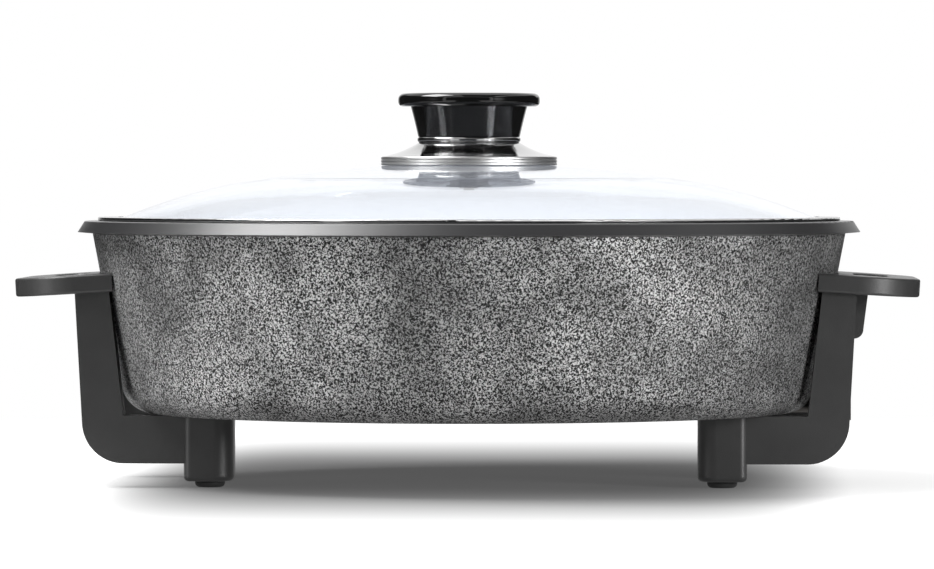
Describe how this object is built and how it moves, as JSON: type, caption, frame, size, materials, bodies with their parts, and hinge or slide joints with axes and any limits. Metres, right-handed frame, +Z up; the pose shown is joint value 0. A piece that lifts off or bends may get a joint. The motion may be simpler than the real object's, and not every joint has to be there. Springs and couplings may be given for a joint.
{
  "type": "electric skillet",
  "caption": "Round electric skillet with a speckled deep pan, black handles and legs, a probe inlet under one handle and a loose domed glass lid with a knob.",
  "frame": {"origin": "on the floor under the pan's axis", "axes": "+Z up, +X towards the handle over the inlet, -Y towards the viewer of the picture"},
  "size_m": [0.4358, 0.38, 0.1895],
  "materials": {
    "pan_coating": "cast aluminium, speckled grey enamel outside, black non-stick inside",
    "element_steel": "dull heat-treated steel sheath",
    "contact_brass": "plain brass",
    "contact_steel": "plated steel",
    "block_ceramic": "glazed insulator",
    "black_moulding": "satin black heat-resistant moulding",
    "foot_rubber": "matt black rubber",
    "screw_steel": "zinc plated",
    "lid_glass": "clear tempered glass",
    "polished_steel": "polished stainless steel",
    "gasket_silicone": "translucent grey silicone",
    "knob_black": "gloss black moulding"
  },
  "bodies": {
    "skillet": {"pan_bowl": "pan_coating", "heating_element": "element_steel", "bus_strap_front": "contact_brass", "bus_strap_rear": "contact_brass", "contact_pin_front": "contact_steel", "contact_pin_rear": "contact_steel", "earth_blade": "contact_brass", "sensor_tube": "contact_steel", "terminal_block": "block_ceramic", "inlet_housing": "black_moulding", "handle_left": "black_moulding", "handle_right": "black_moulding", "foot_front_left": "foot_rubber", "foot_front_right": "foot_rubber", "foot_rear_left": "foot_rubber", "foot_rear_right": "foot_rubber", "leg_front_left": "black_moulding", "leg_front_right": "black_moulding", "leg_rear_left": "black_moulding", "leg_rear_right": "black_moulding", "leg_screws": "screw_steel", "handle_screws": "screw_steel", "inlet_screws": "screw_steel"},
    "lid": {"lid_glass": "lid_glass", "lid_band": "polished_steel", "lid_gasket_upper": "gasket_silicone", "lid_gasket_lower": "gasket_silicone", "lid_washer": "screw_steel", "knob_spacer": "black_moulding", "knob_skirt": "polished_steel", "knob_ring": "polished_steel", "knob_grip": "knob_black", "knob_insert": "contact_brass", "knob_screw": "screw_steel"}
  },
  "joints": [
    {"name": "lid_lift", "type": "slide", "parent": "skillet", "child": "lid", "axis": [0, 0, 1], "range_m": [0, 0.15]}
  ]
}
